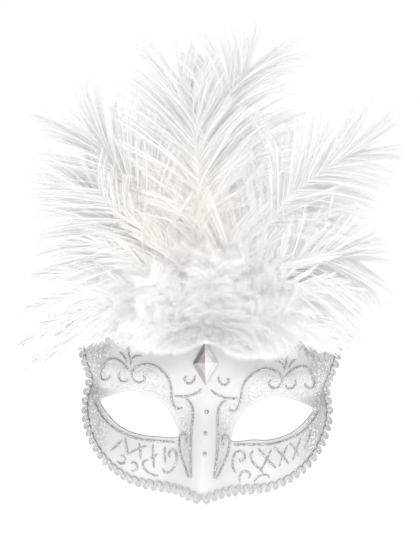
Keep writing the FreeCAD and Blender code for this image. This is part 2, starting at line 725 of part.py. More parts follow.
# name, root x, layer, vane half width, route above the pivot
PLUMES = [
    ("plume_left_low", -10, 0, 25, [(-18, 70), (-40, 93), (-62, 118), (-76, 141), (-82, 158)]),
    ("plume_left_high", -6, 1, 26, [(-10, 74), (-26, 103), (-47, 136), (-68, 165), (-86, 190)]),
    ("plume_back", -2, 2, 28, [(-3, 80), (-7, 120), (-12, 168), (-19, 202), (-32, 226)]),
    ("plume_top", 2, 0, 30, [(2, 80), (0, 120), (1, 168), (8, 205), (24, 226), (46, 240)]),
    ("plume_right_high", 6, 1, 26, [(11, 76), (26, 108), (44, 138), (68, 160), (97, 176), (117, 182)]),
    ("plume_right_low", 10, 2, 24, [(17, 68), (36, 88), (60, 101), (84, 106), (104, 100)]),
]
QUILL_TOP = HUB_Z + PIVOT_RISE
quill_ends = []
for name, root_x, layer, widest, drawn in PLUMES:
    long = size("plume_scale")
    above = [(x * long, QUILL_TOP + (z - HUB_DRAWN[1] - PIVOT_RISE) * long) for x, z in drawn]
    route = [(root_x, QUILL_TOP + size("fit_gap"))] + above
    solid = feather(route, plume_y(layer), size("quill_bore"), vane(0.2, widest * long))
    PARTS.append(add_shape(name, solid))
    stub = [(root_x, HUB_Z - ROOT_DROP), (root_x, HUB_Z + 1.0), (root_x, QUILL_TOP)]
    quill_ends.append(feather(stub, plume_y(layer), size("quill_bore"), vane(2.0, 0.0), 1.0, 2.0))
    print("joint", name, round(root_x, 3), round(plume_y(layer) + spread(PIVOT_RISE), 3), round(QUILL_TOP, 3))
PARTS.append(add_shape("plume_quill_ends", Part.makeCompound(quill_ends)))


def fan_route(root_x, side, angle, length, droop):
    """Route of a feather that leaves the binding upwards, turns out and droops to its tip."""
    points = [(root_x, HUB_Z - ROOT_DROP)]
    x, z = points[0]
    step = 1.0
    travelled = 0.0
    while travelled < length:
        turn = smooth((travelled - 7.0) / 26.0)
        heading = math.radians(90.0 + (angle - 90.0) * turn - droop * (travelled / length) ** 2)
        x += side * step * math.cos(heading)
        z += step * math.sin(heading)
        travelled += step
        if travelled % 8.0 == 0.0:
            points.append((x, z))
    return points


# side, angle above the level, length, droop at the tip in degrees
HACKLES = [(1, 62, 100, 40), (1, 44, 112, 48), (1, 28, 116, 50), (1, 14, 120, 48), (1, 2, 116, 44),
           (1, -8, 108, 36), (-1, 58, 98, 25), (-1, 40, 114, 35), (-1, 24, 126, 40), (-1, 12, 132, 42),
           (-1, 0, 132, 40), (-1, -10, 128, 36)]
HACKLE_HALF_WIDTH = 7.0
for index, (side, angle, length, droop) in enumerate(HACKLES):
    rank = index % 6
    layer = (rank if side > 0 else rank + 1) % HACKLE_LAYERS
    root_x = HUB_X + side * (2.2 + 1.8 * rank)
    route = fan_route(root_x, side, angle, length * size("plume_scale"), droop)
    name = "hackle_%s_%d" % ("right" if side > 0 else "left", rank + 1)
    solid = feather(route, hackle_y(layer), HACKLE_QUILL, vane(0.32, HACKLE_HALF_WIDTH, 0.7, 0.7))
    PARTS.append(add_shape(name, solid))

MARABOU_LENGTH = 64.0
MARABOU_THICK = 13.0
MARABOU_ANGLES = (-56, -28, 0, 28, 56)


def marabou(index, lean):
    """Down tuft: a thin stem that opens into a soft cushion of fluff."""
    root_x = HUB_X + 4.4 * (index - 2)
    lean = math.radians(lean)
    stations = []
    count = 12
    for i in range(count + 1):
        share = i / count
        turn = smooth(share * 2.2)
        reach = MARABOU_LENGTH * size("plume_scale") * share
        x = root_x + reach * math.sin(lean) * turn
        z = HUB_Z - ROOT_DROP + reach * math.cos(lean * turn)
        open_up = smooth((share - 0.16) / 0.3) * math.sqrt(max(0.02, 1.0 - max(0.0, share - 0.6) ** 2 / 0.165))
        half = min(0.8 + 9.6 * open_up, 1.2 + 0.19 * reach)
        thick = MARABOU_STEM + (MARABOU_THICK - MARABOU_STEM) * open_up
        across = Vector(math.cos(lean * turn), 0.0, -math.sin(lean * turn))
        middle = Vector(x, 0.0, z)
        ring = []
        for side, rise in ((-1.0, 0.25), (-0.8, 0.62), (-0.35, 0.95), (0.35, 0.95), (0.8, 0.62), (1.0, 0.25),
                           (0.8, 0.02), (-0.8, 0.02)):
            ring.append(at_depth(middle + across * (half * side), MARABOU_Y) - Vector(0.0, thick * rise, 0.0))
        stations.append(ring)
    return sweep(stations)


for index, lean in enumerate(MARABOU_ANGLES):
    PARTS.append(add_shape("marabou_%d" % (index + 1), marabou(index, lean)))

# ---------------------------------------------------------------- check and write
doc.recompute()
for item in doc.Objects:
    if "Invalid" in item.State or "Error" in item.State:
        raise RuntimeError("%s did not recompute: %s" % (item.Label, item.State))
os.makedirs("parts", exist_ok=True)
for item in PARTS:
    if item.Shape.isNull() or not item.Shape.isValid() or not item.Shape.Solids:
        raise RuntimeError("%s has no valid solid" % item.Label)
for item in PARTS:
    item.Shape.exportStep("parts/%s.step" % item.Label)
for side in (1, -1):
    spot, normal = tie_hole_place(side)
    print("tie hole", [round(v, 3) for v in spot], [round(v, 5) for v in normal])
print("%d parts written" % len(PARTS))
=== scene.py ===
"""Looks of the feathered half mask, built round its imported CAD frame. Metres, +Z up, front towards -Y."""

import json
import math

import bmesh
import bpy
import numpy as np
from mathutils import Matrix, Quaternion, Vector
from mathutils.bvhtree import BVHTree


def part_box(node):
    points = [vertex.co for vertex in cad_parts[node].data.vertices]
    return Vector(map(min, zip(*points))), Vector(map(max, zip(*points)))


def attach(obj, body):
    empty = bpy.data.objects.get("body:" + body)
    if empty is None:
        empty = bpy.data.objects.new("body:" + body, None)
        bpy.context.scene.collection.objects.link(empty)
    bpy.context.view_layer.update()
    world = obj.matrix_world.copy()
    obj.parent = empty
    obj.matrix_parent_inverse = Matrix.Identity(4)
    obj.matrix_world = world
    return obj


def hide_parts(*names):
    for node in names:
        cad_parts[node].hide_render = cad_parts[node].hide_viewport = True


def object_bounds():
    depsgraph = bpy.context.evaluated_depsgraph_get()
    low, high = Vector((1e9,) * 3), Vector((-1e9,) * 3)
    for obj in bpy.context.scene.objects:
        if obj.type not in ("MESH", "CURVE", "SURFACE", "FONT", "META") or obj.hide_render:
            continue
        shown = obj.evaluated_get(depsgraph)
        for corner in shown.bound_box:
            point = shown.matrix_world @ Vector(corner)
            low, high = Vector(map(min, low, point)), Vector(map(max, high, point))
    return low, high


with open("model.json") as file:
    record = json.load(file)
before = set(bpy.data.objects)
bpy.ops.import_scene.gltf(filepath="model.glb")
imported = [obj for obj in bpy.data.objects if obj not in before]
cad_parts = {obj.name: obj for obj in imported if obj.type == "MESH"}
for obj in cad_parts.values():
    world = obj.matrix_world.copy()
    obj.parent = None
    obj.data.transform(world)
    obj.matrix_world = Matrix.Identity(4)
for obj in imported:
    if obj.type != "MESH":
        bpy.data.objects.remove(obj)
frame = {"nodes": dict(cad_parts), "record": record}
cad_low, cad_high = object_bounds()
MM = 0.001
ROOT_BODY = "mask"


# ---------------------------------------------------------------- small helpers
def unit(vectors):
    return vectors / np.maximum(np.linalg.norm(vectors, axis=-1, keepdims=True), 1e-12)


def smooth(value):
    value = np.clip(value, 0.0, 1.0)
    return value * value * (3.0 - 2.0 * value)


def spline(points, count):
    """Evenly spaced points on a smooth curve through the given ones."""
    points = np.asarray(points, float)
    padded = np.vstack([2 * points[0] - points[1], points, 2 * points[-1] - points[-2]])
    fine = []
    for i in range(len(points) - 1):
        p0, p1, p2, p3 = padded[i:i + 4]
        u = np.linspace(0.0, 1.0, 24, endpoint=False)[:, None]
        fine.append(0.5 * (2 * p1 + (p2 - p0) * u + (2 * p0 - 5 * p1 + 4 * p2 - p3) * u ** 2
                           + (3 * p1 - p0 - 3 * p2 + p3) * u ** 3))
    fine = np.vstack(fine + [points[-1:]])
    travel = np.concatenate([[0.0], np.cumsum(np.linalg.norm(np.diff(fine, axis=0), axis=1))])
    wanted = np.linspace(0.0, travel[-1], count)
    return np.stack([np.interp(wanted, travel, fine[:, k]) for k in range(fine.shape[1])], axis=1)


def make_object(name, points, faces, material, body, replaced=()):
    """A mesh object from arrays; every face has the same number of corners."""
    points = np.ascontiguousarray(points, dtype=np.float32).reshape(-1, 3)
    faces = np.ascontiguousarray(faces, dtype=np.int32)
    corners = faces.shape[1]
    mesh = bpy.data.meshes.new(name)
    mesh.vertices.add(len(points))
    mesh.vertices.foreach_set("co", points.ravel())
    mesh.loops.add(faces.size)
    mesh.loops.foreach_set("vertex_index", faces.ravel())
    mesh.polygons.add(len(faces))
    mesh.polygons.foreach_set("loop_start", np.arange(0, faces.size, corners, dtype=np.int32))
    mesh.polygons.foreach_set("use_smooth", np.full(len(faces), True))
    mesh.update(calc_edges=True)
    flat_uv(mesh, points, faces)
    obj = bpy.data.objects.new(name, mesh)
    bpy.context.scene.collection.objects.link(obj)
    mesh.materials.append(material)
    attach(obj, body)
    if replaced:
        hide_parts(*replaced)
    return obj


def flat_uv(mesh, points, faces):
    """Texture map seen from the front, so that thousands of hairs need no unwrapping."""
    layer = mesh.uv_layers.new(name="OFBake")
    low = points.min(axis=0)
    span = np.maximum(points.max(axis=0) - low, 1e-6)
    flat = ((points - low) / span)[:, [0, 2]] * 0.98 + 0.01
    layer.data.foreach_set("uv", flat[faces.ravel()].astype(np.float32).ravel())


# ---------------------------------------------------------------- materials
class Nodes:
    """Short-hand for building one node material."""

    def __init__(self, name):
        self.material = bpy.data.materials.new(name)
        self.material.use_nodes = True
        self.tree = self.material.node_tree
        self.shader = self.tree.nodes["Principled BSDF"]
        self.place = self.add("ShaderNodeTexCoord")

    def add(self, kind, **values):
        node = self.tree.nodes.new(kind)
        for key, value in values.items():
            if hasattr(node, key):
                setattr(node, key, value)
            else:
                node.inputs[key.replace("_", " ")].default_value = value
        return node

    def link(self, source, output, target, socket):
        self.tree.links.new(source.outputs[output], target.inputs[socket])

    def noise(self, scale, detail):
        node = self.add("ShaderNodeTexNoise", Scale=scale, Detail=detail, Roughness=0.55)
        self.link(self.place, "Object", node, "Vector")
        return node

    def cells(self, scale):
        node = self.add("ShaderNodeTexVoronoi", Scale=scale)
        self.link(self.place, "Object", node, "Vector")
        return node

    def ramp(self, source, output, stops):
        node = self.add("ShaderNodeValToRGB")
        elements = node.color_ramp.elements
        while len(elements) < len(stops):
            elements.new(0.5)
        for element, (where, colour) in zip(elements, stops):
            element.position = where
            element.color = (*colour, 1.0)
        self.link(source, output, node, "Fac")
        return node

    def bump(self, source, output, strength, distance, base=None):
        node = self.add("ShaderNodeBump", Strength=strength, Distance=distance)
        self.link(source, output, node, "Height")
        if base:
            self.link(base, "Normal", node, "Normal")
        self.link(node, "Normal", self.shader, "Normal")
        return node

    def ball(self, middle, reach, stops):
        """A ramp from the rim (0) to the middle (1) of an ellipsoid given in millimetres."""
        place = self.add("ShaderNodeMapping")
        place.inputs["Location"].default_value = [-m / r for m, r in zip(middle, reach)]
        place.inputs["Scale"].default_value = [1.0 / (r * MM) for r in reach]
        gradient = self.add("ShaderNodeTexGradient", gradient_type="SPHERICAL")
        self.link(self.place, "Object", place, "Vector")
        self.link(place, "Vector", gradient, "Vector")
        return self.ramp(gradient, "Fac", stops)

    def mix(self, blend, share, first, second):
        """Two ramps' colours blended; share is a ramp too, or None for the whole."""
        node = self.add("ShaderNodeMix", data_type="RGBA", blend_type=blend)
        node.inputs[0].default_value = 1.0
        if share:
            self.link(share, "Color", node, 0)
        for source, socket in ((first, 6), (second, 7)):
            self.link(source, 2 if source.type == "MIX" else "Color", node, socket)
        return node

    def set(self, **values):
        for key, value in values.items():
            self.shader.inputs[key.replace("_", " ")].default_value = value
        return self


# Past these distances from the middle the white paint gives way to grey glitter: real glitter, and painted
# shade where the shell turns back
SIDE_GLITTER_SHADE_FROM = 60 * MM          # from the middle, where the sides' silver glitter begins
SIDE_GLITTER_SHADE_FULL = 70 * MM


def shell_paint():
    """Satin white paint, with a coat of fine silver glitter on the sides where the shell turns back; the
    grey of that glitter is also painted shade.
    """
    n = Nodes("white_paint").set(Roughness=0.42, Coat_Weight=0.2, Coat_Roughness=0.3)
    white = n.ramp(n.noise(60.0, 5.0), "Fac", [(0.3, (0.67, 0.67, 0.67)), (0.7, (0.71, 0.71, 0.71))])
    flakes = n.cells(1100.0)
    split = n.add("ShaderNodeSeparateColor")
    n.link(flakes, "Color", split, "Color")
    # partly real silver glitter, partly painted shade: greyer than the white paint on the sides that turn
    # away
    silver = n.ramp(split, "Red", [(0.0, (0.42, 0.42, 0.43)), (0.7, (0.52, 0.52, 0.53)),
                                   (0.86, (0.62, 0.62, 0.63)), (0.93, (0.95, 0.95, 0.96))])
    axes = n.add("ShaderNodeSeparateXYZ")
    n.link(n.place, "Object", axes, "Vector")
    width = n.add("ShaderNodeMath", operation="ABSOLUTE")
    n.link(axes, "X", width, 0)
    reach = n.add("ShaderNodeMapRange")
    reach.inputs["From Min"].default_value = SIDE_GLITTER_SHADE_FROM
    reach.inputs["From Max"].default_value = SIDE_GLITTER_SHADE_FULL
    n.link(width, "Value", reach, "Value")
    share = n.ramp(reach, "Result", [(0.0, (0.0, 0.0, 0.0)), (1.0, (1.0, 1.0, 1.0))])
    n.link(n.mix("MIX", share, white, silver), 2, n.shader, "Base Color")
    wave = n.bump(n.noise(140.0, 2.0), "Fac", 0.15, 0.0006)
    n.bump(n.noise(1500.0, 4.0), "Fac", 0.12, 0.0002, wave)
    return n.material


def silver_glitter():
    """Glitter glue: metal flakes of different tone, each tipped its own way."""
    n = Nodes("silver_glitter").set(Metallic=0.4, Roughness=0.4)
    flakes = n.cells(2100.0)
    split = n.add("ShaderNodeSeparateColor")
    n.link(flakes, "Color", split, "Color")
    tone = n.ramp(split, "Red", [(0.0, (0.22, 0.22, 0.23)), (0.3, (0.36, 0.36, 0.37)),
                                 (0.65, (0.50, 0.50, 0.51)), (0.85, (0.86, 0.86, 0.88))])
    n.link(tone, "Color", n.shader, "Base Color")
    n.bump(split, "Green", 0.7, 0.0004)
    return n.material


def glitter_film():
    """Pale film of fine iridescent flakes over the white paint."""
    n = Nodes("glitter_film").set(Metallic=0.15, Roughness=0.3, Coat_Weight=0.4, Coat_Roughness=0.2)
    flakes = n.cells(1500.0)
    split = n.add("ShaderNodeSeparateColor")
    n.link(flakes, "Color", split, "Color")
    tone = n.ramp(split, "Red", [(0.0, (0.50, 0.50, 0.52)), (0.25, (0.66, 0.64, 0.64)),
                                 (0.5, (0.69, 0.68, 0.67)), (0.75, (0.66, 0.68, 0.68)),
                                 (1.0, (0.88, 0.86, 0.85))])
    n.link(tone, "Color", n.shader, "Base Color")
    n.bump(split, "Green", 0.5, 0.0003)
    return n.material


def braid_metal():
    """Metallic yarn: fine wound threads, with painted shade in the gaps between them."""
    n = Nodes("braid_metal").set(Metallic=0.45, Roughness=0.42)
    threads = n.add("ShaderNodeTexWave", Scale=700.0, Distortion=3.0, Detail=2.0)
    n.link(n.place, "Object", threads, "Vector")
    # painted shade: the dark end of the ramp falls in the gaps between the threads
    tone = n.ramp(threads, "Fac", [(0.0, (0.48, 0.48, 0.50)), (0.45, (0.76, 0.76, 0.78)),
                                   (1.0, (0.93, 0.93, 0.95))])
    n.link(tone, "Color", n.shader, "Base Color")
    n.bump(threads, "Fac", 0.5, 0.0003)
    return n.material


def feather_barbs():
    """Soft keratin barbs: white, with a cream blush over the middle of the fan and painted shade that greys
    the rim slightly.

    The faint emission stands for light scattered from barb to barb.
    """
    n = Nodes("feather_barbs")
    n.set(Roughness=0.9, Sheen_Weight=0.2, Sheen_Roughness=0.5, Specular_IOR_Level=0.1)
    n.set(Emission_Color=(1.0, 0.99, 0.985, 1.0), Emission_Strength=0.03)
    white = n.ramp(n.noise(26.0, 4.0), "Fac", [(0.3, (0.885, 0.885, 0.89)), (0.7, (0.915, 0.915, 0.912))])
    cream = n.ramp(n.noise(40.0, 4.0), "Fac", [(0.3, (0.93, 0.895, 0.865)), (0.7, (0.945, 0.92, 0.90))])
    blush = n.ball((-24.0, 0.0, 132.0), (80.0, 330.0, 65.0),
                   [(0.0, (0.0, 0.0, 0.0)), (0.55, (1.0, 1.0, 1.0))])
    body = n.mix("MIX", blush, white, cream)
    # painted shade: the barbs turn slightly greyer towards the rim of the fan
    rim = n.ball((0.0, -30.0, 70.0), (170.0, 330.0, 180.0),
                 [(0.08, (0.95, 0.95, 0.95)), (0.40, (0.97, 0.97, 0.97)), (0.62, (1.0, 1.0, 1.0))])
    n.link(n.mix("MULTIPLY", None, body, rim), 2, n.shader, "Base Color")
    n.bump(n.noise(2500.0, 2.0), "Fac", 0.2, 0.0002)
    return n.material


def shaft_keratin():
    n = Nodes("shaft_keratin").set(Roughness=0.4, Coat_Weight=0.2)
    tone = n.ramp(n.noise(90.0, 3.0), "Fac", [(0.3, (0.86, 0.82, 0.74)), (0.7, (0.93, 0.91, 0.87))])
    n.link(tone, "Color", n.shader, "Base Color")
    n.bump(n.noise(1200.0, 2.0), "Fac", 0.15, 0.0002)
    return n.material


def gem_facets():
    """Foil-backed acrylic. The foil's reflection is painted by the way a facet faces, left or right."""
    n = Nodes("gem_acrylic").set(Roughness=0.08, Coat_Weight=1.0, Coat_Roughness=0.03, Metallic=0.1)
    shape = n.add("ShaderNodeNewGeometry")
    axes = n.add("ShaderNodeSeparateXYZ")
    n.link(shape, "Normal", axes, "Vector")
    turned = n.add("ShaderNodeMapRange")
    turned.inputs["From Min"].default_value = -1.0
    n.link(axes, "X", turned, "Value")
    facets = n.ramp(turned, "Result", [(0.09, (0.74, 0.74, 0.75)), (0.20, (0.24, 0.24, 0.25)),
                                       (0.235, (0.52, 0.40, 0.44)), (0.45, (0.66, 0.58, 0.61)),
                                       (0.55, (0.97, 0.97, 0.98)), (0.76, (0.98, 0.98, 0.98)),
                                       (0.80, (0.74, 0.74, 0.75)), (0.95, (0.70, 0.70, 0.71))])
    glints = n.ramp(n.noise(260.0, 2.0), "Fac", [(0.35, (0.82, 0.82, 0.83)), (0.62, (1.0, 1.0, 1.0))])
    n.link(n.mix("MULTIPLY", None, facets, glints), 2, n.shader, "Base Color")
    return n.material


def gem_mirror():
    n = Nodes("gem_foil").set(Metallic=1.0, Roughness=0.14)
    tone = n.ramp(n.noise(160.0, 2.0), "Fac", [(0.35, (0.72, 0.68, 0.72)), (0.65, (0.92, 0.92, 0.93))])
    n.link(tone, "Color", n.shader, "Base Color")
    n.bump(n.noise(600.0, 2.0), "Fac", 0.3, 0.0002)
    return n.material


def plain_cloth(name, low, high):
    n = Nodes(name).set(Roughness=0.85)
    fuzz = n.noise(900.0, 4.0)
    tone = n.ramp(fuzz, "Fac", [(0.3, low), (0.7, high)])
    n.link(tone, "Color", n.shader, "Base Color")
    n.bump(fuzz, "Fac", 0.5, 0.0004)
    return n.material


def glue_skin():
    n = Nodes("glue_skin").set(Roughness=0.3, Subsurface_Weight=0.2, Subsurface_Scale=0.002)
    tone = n.ramp(n.noise(200.0, 3.0), "Fac", [(0.3, (0.86, 0.85, 0.82)), (0.7, (0.93, 0.92, 0.9))])
    n.link(tone, "Color", n.shader, "Base Color")
    return n.material


PAINT = shell_paint()
GLITTER = silver_glitter()
FILM = glitter_film()
CORD = braid_metal()
BARB = feather_barbs()
SHAFT = shaft_keratin()
NODE_MATERIALS = {"mask_shell": PAINT, "gem": gem_facets(), "gem_foil_back": gem_mirror(),
                  "gem_glue": glue_skin(), "feather_glue": glue_skin(), "plume_quill_ends": SHAFT,
                  "feather_patch": plain_cloth("felt", (0.85, 0.85, 0.84), (0.93, 0.93, 0.92)),
                  "quill_binding": plain_cloth("thread", (0.82, 0.81, 0.79), (0.93, 0.92, 0.9)),
                  "glitter_field_left": FILM, "glitter_field_right": FILM}
for node, material in NODE_MATERIALS.items():
    mesh = frame["nodes"][node].data
    mesh.materials.clear()
    mesh.materials.append(material)

# ---------------------------------------------------------------- glitter glue lines
LINE_NODES = [name for name in frame["nodes"] if name.rsplit("_", 1)[0] in
              ("brow_scroll", "temple_scroll", "flower_spray", "crown_scroll", "finger_outline", "eye_line",
               "cheek_scroll", "cheek_lattice")]


def world_points(node):
    mesh = frame["nodes"][node].data
    points = np.empty(len(mesh.vertices) * 3, np.float32)
    mesh.vertices.foreach_get("co", points)
    return points.reshape(-1, 3).astype(float)


GRAIN = 0.32 * MM                # size of the glitter grains on a bead, and of the mesh that carries them


def grainy_copy(node):
    """A copy of a CAD bead with the lumpy surface of glitter set in glue."""
    mesh = frame["nodes"][node].data.copy()
    build = bmesh.new()
    build.from_mesh(mesh)
    bmesh.ops.remove_doubles(build, verts=build.verts, dist=1e-6)
    build.to_mesh(mesh)
    build.free()
    obj = bpy.data.objects.new(node + "_grain", mesh)
    bpy.context.scene.collection.objects.link(obj)
    remesh = obj.modifiers.new("even", "REMESH")
    remesh.mode = "VOXEL"
    remesh.voxel_size = GRAIN
    lumps = bpy.data.textures.new(node + "_lumps", "CLOUDS")
    lumps.noise_scale = GRAIN * 2.2
    raise_up = obj.modifiers.new("lumps", "DISPLACE")
    raise_up.texture = lumps
    raise_up.strength = GRAIN
    raise_up.mid_level = 0.45
    shaped = bpy.data.meshes.new_from_object(obj.evaluated_get(bpy.context.evaluated_depsgraph_get()))
    obj.modifiers.clear()
    obj.data = shaped
    shaped.materials.clear()
    shaped.materials.append(GLITTER)
    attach(obj, ROOT_BODY)
    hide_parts(node)


for node in LINE_NODES + ["nose_dots"]:
    grainy_copy(node)

# ---------------------------------------------------------------- gimp braid
FRONT = np.array([0.0, -1.0, 0.0])
BRAID_PITCH = 5.9 * MM
CORD_RADIUS = 0.42 * MM
CORD_STEP = 0.88 * MM           # from one cord of the strand to the next
BRAID_SWING = 2.3 * MM          # how far the middle cord swings to each side of the band
BRAID_OUTWARD = 0.7 * MM        # from the CAD cord's middle to the band's
BRAID_TILT = 1.3                # how far the braid's face turns from the shell's towards the front
BRAID_DROP = 9 * MM             # how far above the shell a cord is let down from
BRAID_ROUNDING = 0.075          # share of the pitch by which the turns are rounded
CORD_HEIGHT = 2.6               # of a cord's middle over the shell, in cord radii
LINE_STEPS = 160
TURN_STEPS = 26


def surface_of(node):
    """Nearest-point search over a CAD node's surface."""
    mesh = frame["nodes"][node].data
    return BVHTree.FromPolygons([v.co for v in mesh.vertices], [p.vertices[:] for p in mesh.polygons])


SHELL = surface_of("mask_shell")


def tube(path, radius, sides=6):
    """Points and faces of a closed-section tube along a path."""
    run = unit(np.gradient(path, axis=0))
    across = unit(np.cross(run, unit(np.array([0.13, -0.9, 0.41]))))
    face = np.cross(across, run)
    radius = np.broadcast_to(radius, len(path))[:, None, None]
    turn = np.arange(sides) * 2 * math.pi / sides
    ring = np.cos(turn)[None, :, None] * across[:, None] + np.sin(turn)[None, :, None] * face[:, None]
    points = (path[:, None] + ring * radius).reshape(-1, 3)
    low = (np.arange(len(path) - 1)[:, None] * sides + np.arange(sides)[None, :]).reshape(-1)
    step = np.tile(np.where(np.arange(sides) == sides - 1, 1 - sides, 1), len(path) - 1)
    return points, np.stack([low, low + step, low + step + sides, low + sides], axis=1)


def middle_line(node, order, bins):
    """Centre line of a CAD cord, from the means of its vertices in bins of a rising measure."""
    cloud = world_points(node)
    measure = order(cloud)
    edges = np.linspace(measure.min(), measure.max(), bins + 1)
    which = np.clip(np.digitize(measure, edges) - 1, 0, bins - 1)
    return np.array([cloud[which == k].mean(axis=0) for k in range(bins) if np.any(which == k)])


def gimp(name, centre, replaced, seed):
    """Serpentine braid of three parallel cords over the shell's edge."""
    draw = np.random.default_rng(seed)
    coarse = spline(centre, LINE_STEPS)
    outward = np.cross(unit(np.gradient(coarse, axis=0)), FRONT)
    outward *= np.sign(np.sum(outward * (coarse - coarse.mean(axis=0))))
    foot, lift = [], []
    for point in coarse:
        near, facing = (np.array(v) for v in SHELL.find_nearest(Vector(point))[:2])
        foot.append(near)
        lift.append(unit(facing + BRAID_TILT * FRONT))
    foot, lift = np.array(foot), np.array(lift)
    for _ in range(6):
        foot[1:-1] = (foot[:-2] + 2 * foot[1:-1] + foot[2:]) / 4
        lift[1:-1] = (lift[:-2] + 2 * lift[1:-1] + lift[2:]) / 4
    lift = unit(lift)
    run = unit(np.gradient(foot, axis=0))
    out = unit(np.cross(run, lift))
    out *= np.sign(np.sum(out * outward))
    travel = np.concatenate([[0.0], np.cumsum(np.linalg.norm(np.diff(foot, axis=0), axis=1))])
    turns = int(round(travel[-1] / BRAID_PITCH))
    count = turns * TURN_STEPS
    where = np.linspace(0.0, 1.0, count)
    uneven = np.interp(where, np.linspace(0, 1, turns), draw.normal(0, 0.10, turns))
    phase = where * turns * 2 * math.pi + uneven * 2.2
    swing = BRAID_SWING * (1 + np.interp(where, np.linspace(0, 1, turns), draw.normal(0, 0.06, turns)))
    side_step = swing * np.cos(phase)
    ahead = BRAID_ROUNDING * BRAID_PITCH * np.sin(2 * phase)
    spot = np.clip(where + ahead / travel[-1], 0, 1)
    low, up, run_at, out_at = (
        np.stack([np.interp(spot * travel[-1], travel, v[:, k]) for k in range(3)], axis=1)
        for v in (foot, lift, run, out))
    flat = np.stack([spot * travel[-1], side_step], axis=1)
    heading = unit(np.gradient(flat, axis=0))
    normal = np.stack([-heading[:, 1], heading[:, 0]], axis=1)
    points, faces, total = [], [], 0
    for cord in (-1, 0, 1):
        along_it = normal[:, :1] * cord * CORD_STEP
        off = (side_step + BRAID_OUTWARD)[:, None] + normal[:, 1:] * cord * CORD_STEP
        height = CORD_RADIUS * (CORD_HEIGHT + 0.5 * np.sin(phase) + 0.35 * (cord == 0))
        height = height + 0.25 * MM * draw.normal(0, 0.2)
        path = low + run_at * along_it + out_at * off + up * height[:, None]
        for k in range(count):
            hit = SHELL.ray_cast(Vector(path[k] + up[k] * BRAID_DROP), Vector(-up[k]), 1.15 * BRAID_DROP)[0]
            if hit is not None:
                path[k] = np.array(hit) + up[k] * height[k]
        thickness = CORD_RADIUS * (1 + 0.12 * np.sin(np.arange(count) * 1.9 + cord))
        more, quads = tube(path, thickness)
        points.append(more)
        faces.append(quads + total)
        total += len(more)
    make_object(name, np.vstack(points), np.vstack(faces), CORD, ROOT_BODY, replaced)


lower_line = middle_line("lower_braid_cord", lambda p: np.arctan2(-p[:, 0], -(p[:, 2] - 20 * MM)), 90)
upper_line = middle_line("upper_braid_cord", lambda p: p[:, 0], 50)
gimp("lower_gimp", lower_line, ("lower_braid_cord", "lower_braid_tape"), 11)
gimp("upper_gimp", upper_line, ("upper_braid_cord", "upper_braid_tape"), 12)

# ---------------------------------------------------------------- feathers
HUB = np.array([0.0, 0.0, 50.0]) * MM
DOWN = np.array([0.0, 0.0, -1.0])
JOINTS = {joint["child"]: np.array(joint["pos_m"]) for joint in frame["record"]["behaviour"]["joints"]}
# 95% of a margin around the CAD box: 3% of its size plus 10 mm
ROOM_SPARE = 0.95 * (0.03 * np.array(cad_high - cad_low) + 10 * MM)
ROOM_LOW = np.array(cad_low) - ROOM_SPARE
ROOM_HIGH = np.array(cad_high) + ROOM_SPARE
EASE = np.array([14.0, 9.0, 14.0]) * MM


def keep_in_room(points):
    """Bends the farthest barb tips back, so that none leaves that margin around the CAD box."""
    over = points - (ROOM_HIGH - EASE)
    points = np.where(over > 0, ROOM_HIGH - EASE + EASE * np.tanh(over / EASE), points)
    under = (ROOM_LOW + EASE) - points
    return np.where(under > 0, ROOM_LOW + EASE - EASE * np.tanh(under / EASE), points)


def spread(reach):
    """How far a feather stands behind its root at this distance from the hub, in millimetres."""
    return (-6.0 * smooth(reach / 50.0) + 16.0 * smooth((reach - 40.0) / 120.0)
            - 6.0 * smooth((reach - 130.0) / 80.0))


def laid_back(flat, root_y):
    """Route points in the XZ plane, in metres, set to the depth of the feather fan."""
    reach = np.linalg.norm(flat - HUB[[0, 2]], axis=1) / MM
    return np.stack([flat[:, 0], root_y + spread(reach) * MM, flat[:, 1]], axis=1)


def along(values, where):
    """Values of a path at shares 0 to 1 of its length."""
    steps = np.linspace(0.0, 1.0, len(values))
    return np.stack([np.interp(where, steps, values[:, k]) for k in range(values.shape[1])], axis=-1)


gem_low, gem_high = (np.array(corner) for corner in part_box("gem"))
GEM_MIDDLE = (gem_low + gem_high) / 2
GEM_CLEAR = (gem_high - gem_low) / 2 + np.array([1.0, 0.0, -1.5]) * MM
BROW_REACH = 74 * MM            # within this of the middle no barb hangs below the brow line
BROW_LINE = 42.5 * MM


def over_face(points):
    """Which points would hide the stone or the forehead."""
    away = (points - GEM_MIDDLE) / GEM_CLEAR
    stone = away[..., 0] ** 2 + away[..., 2] ** 2 < 1.0
    return stone | ((points[..., 2] < BROW_LINE) & (np.abs(points[..., 0]) < BROW_REACH))


